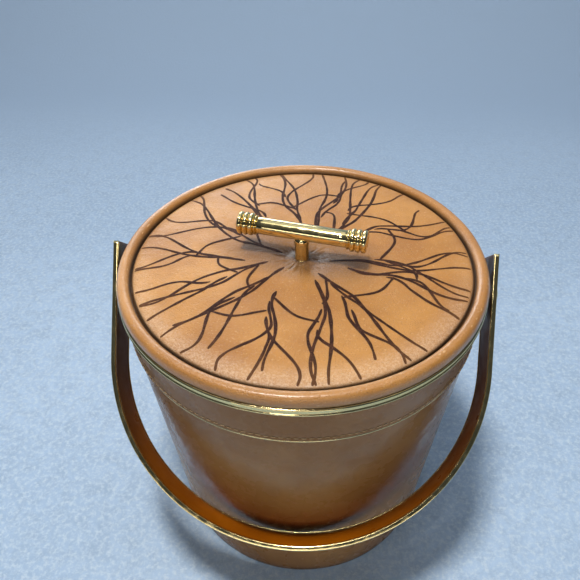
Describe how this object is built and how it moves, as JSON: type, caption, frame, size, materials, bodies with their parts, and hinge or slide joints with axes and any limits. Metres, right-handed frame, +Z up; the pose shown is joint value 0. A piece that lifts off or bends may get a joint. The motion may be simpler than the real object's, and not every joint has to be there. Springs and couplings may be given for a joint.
{
  "type": "ice bucket",
  "caption": "Insulated ice bucket: leatherette-covered tapered drum, white liner, padded lift-off lid with a brass bar knob, and a strap handle that swings over the lid.",
  "frame": {"origin": "centre of the flat base on the table surface", "axes": "+Z up out of the bucket; the handle's pivot line runs along X; the handle hangs to the front, which is -Y"},
  "size_m": [0.248, 0.2368, 0.2451],
  "materials": {
    "leatherette_tan": "satin, fine grain",
    "leatherette_dark": "glossy smooth vinyl",
    "thread": "matt",
    "brass": "polished",
    "white_plastic": "gloss",
    "foam": "matt foam",
    "board": "matt fibreboard",
    "felt": "matt felt",
    "steel": "zinc plated"
  },
  "bodies": {
    "bucket": {"outer_shell": "board", "body_wrap": "leatherette_dark", "collar_band": "leatherette_dark", "collar_stitching": "thread", "collar_trim": "brass", "rim_ring": "brass", "inner_liner": "white_plastic", "wall_insulation": "foam", "base_board": "board", "base_pad": "felt", "saddle_left": "leatherette_dark", "pivot_washer_left": "white_plastic", "pivot_stud_left": "brass", "pivot_nut_left": "steel", "saddle_right": "leatherette_dark", "pivot_washer_right": "white_plastic", "pivot_stud_right": "brass", "pivot_nut_right": "steel"},
    "lid": {"lid_liner": "white_plastic", "lid_insulation": "foam", "lid_board": "board", "lid_pad": "foam", "lid_panel_cover": "leatherette_tan", "lid_rim_core": "foam", "lid_rim_cover": "leatherette_tan", "knob_bar": "brass", "knob_cap_left": "brass", "knob_cap_right": "brass", "knob_post": "brass", "knob_washer": "steel", "knob_screw": "steel"},
    "handle": {"handle_lining": "leatherette_dark", "handle_core": "steel", "handle_cover": "leatherette_dark", "handle_trim_front": "brass", "handle_trim_rear": "brass", "handle_bush_left": "brass", "handle_bush_right": "brass"}
  },
  "joints": [
    {"name": "handle_swing", "type": "hinge", "parent": "bucket", "child": "handle", "pos_m": [0, 0, 0.195], "axis": [-1, 0, 0], "range_deg": [0, 274.2]},
    {"name": "lid_lift", "type": "slide", "parent": "bucket", "child": "lid", "axis": [0, 0, 1], "range_m": [0, 0.04]}
  ]
}
